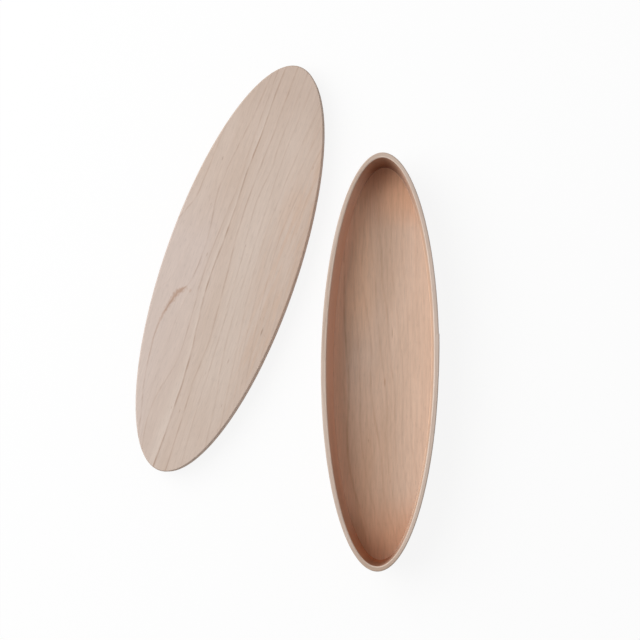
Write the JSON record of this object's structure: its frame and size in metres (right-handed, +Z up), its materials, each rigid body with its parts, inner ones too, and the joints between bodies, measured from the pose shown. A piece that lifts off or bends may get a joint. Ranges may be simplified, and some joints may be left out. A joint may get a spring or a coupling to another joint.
{
  "type": "oval box",
  "caption": "Long narrow oval box of pale maple, a bent band round a flat bottom board, with a loose solid lid lying beside it.",
  "frame": {"origin": "centre of the box's underside, on the surface that it stands on", "axes": "+Z up, +Y along the box's length, +X across it, away from the lid"},
  "size_m": [0.1854, 0.3057, 0.032],
  "materials": {
    "bent_maple": "sanded, thin clear oil",
    "board_maple": "sanded, thin clear oil",
    "peg_maple": "end grain, thin clear oil"
  },
  "bodies": {
    "box": {"side_band": "bent_maple", "bottom_board": "board_maple", "bottom_pegs": "peg_maple"},
    "lid": {"lid_board": "board_maple", "lid_inner_board": "board_maple"}
  },
  "joints": [
    {"name": "lid_lift", "type": "slide", "parent": "box", "child": "lid", "axis": [0, 0, 1], "range_m": [0, 0.06]}
  ]
}
